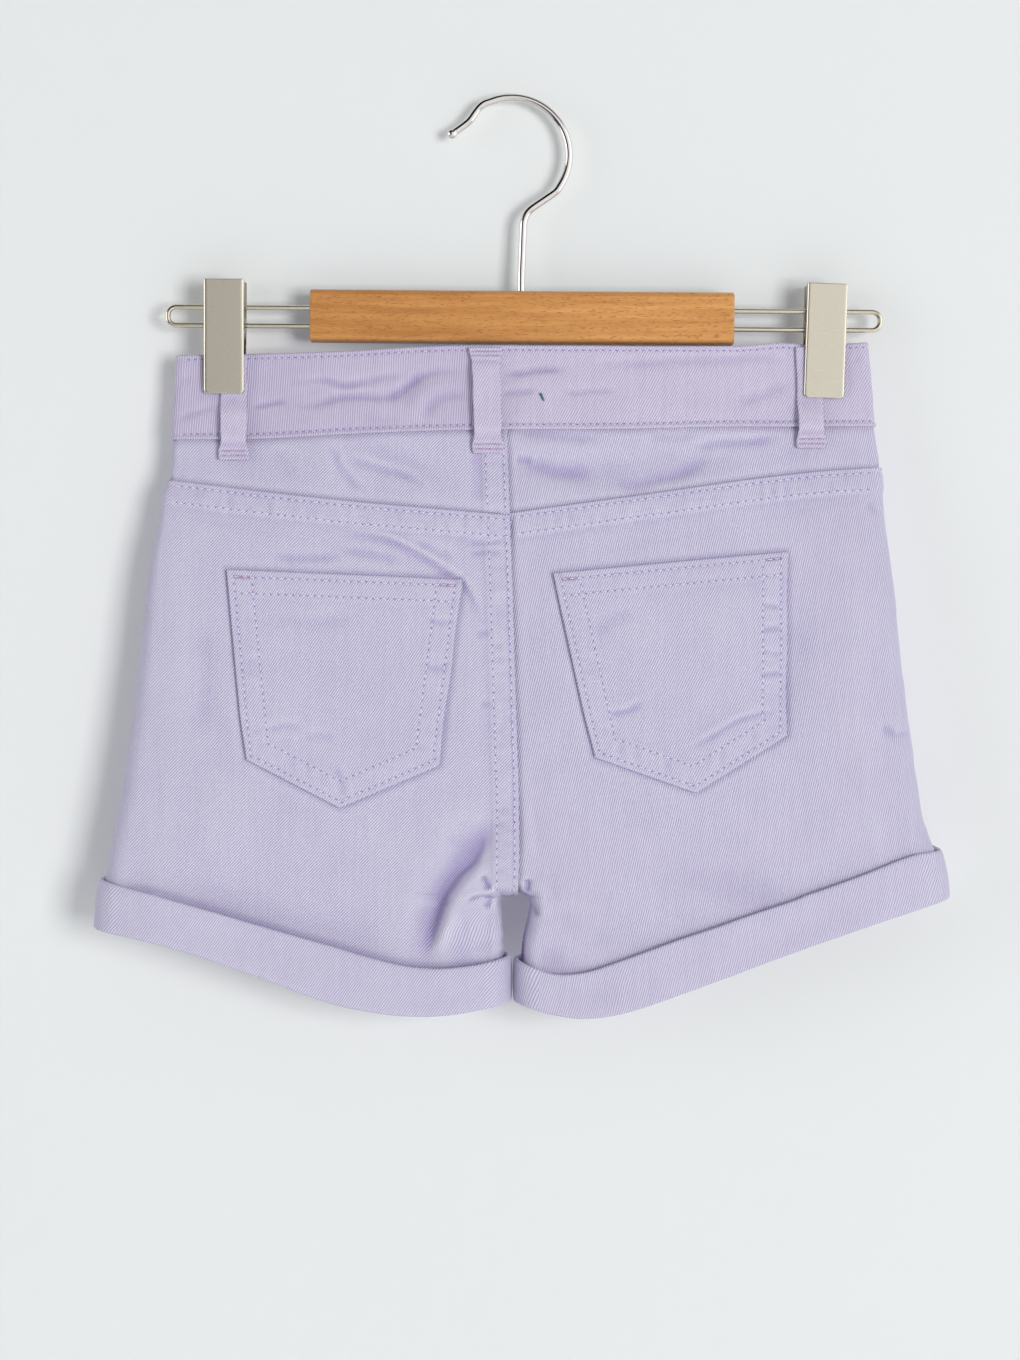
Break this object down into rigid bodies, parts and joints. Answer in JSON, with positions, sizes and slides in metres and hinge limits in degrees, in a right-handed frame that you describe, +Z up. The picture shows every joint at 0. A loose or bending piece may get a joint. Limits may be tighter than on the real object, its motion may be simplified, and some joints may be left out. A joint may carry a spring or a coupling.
{
  "type": "children's gabardine shorts on a clip hanger",
  "caption": "Short-legged twill shorts with back patch pockets, belt loops and turned-up cuffs, held flat by the waistband in the sprung clips of a wooden bar hanger.",
  "frame": {"origin": "the inside of the hook's crown, where it rests on a rod", "axes": "+Z up; the seat of the shorts faces -Y and their front faces +Y; +X is the wearer's right, along the hanger's bar"},
  "size_m": [0.3419, 0.0312, 0.3681],
  "materials": {
    "cloth": "lilac cotton twill, matte with a faint diagonal rib",
    "waistband_cloth": "lilac cotton twill, matte, cut with its ribs nearly upright",
    "thread": "twisted sewing thread, slightly lighter than the cloth",
    "wood": "varnished beech, satin, with short dark flecks",
    "chrome": "polished wire",
    "nickel": "satin nickel sheet"
  },
  "bodies": {
    "root": {"waistband_back": "waistband_cloth", "waistband_front_left": "waistband_cloth", "waistband_front_right": "waistband_cloth", "yoke_left": "cloth", "yoke_right": "cloth", "back_panel_left": "cloth", "back_panel_right": "cloth", "front_panel_left": "cloth", "front_panel_right": "cloth", "back_pocket_left": "cloth", "back_pocket_right": "cloth", "cuff_back_left": "cloth", "cuff_back_right": "cloth", "cuff_front_left": "cloth", "cuff_front_right": "cloth", "fly": "cloth", "belt_loop_back_left": "waistband_cloth", "belt_loop_back_centre": "waistband_cloth", "belt_loop_back_right": "waistband_cloth", "belt_loop_front_left": "waistband_cloth", "belt_loop_front_right": "waistband_cloth", "button": "nickel", "hook": "chrome", "hanger_bar": "wood", "wire_loop_left": "chrome", "wire_loop_right": "chrome", "clip_front_left": "nickel", "clip_front_right": "nickel", "clip_rear_left": "nickel", "clip_rear_right": "nickel", "clip_barrel_left": "nickel", "clip_barrel_right": "nickel"}
  },
  "joints": []
}
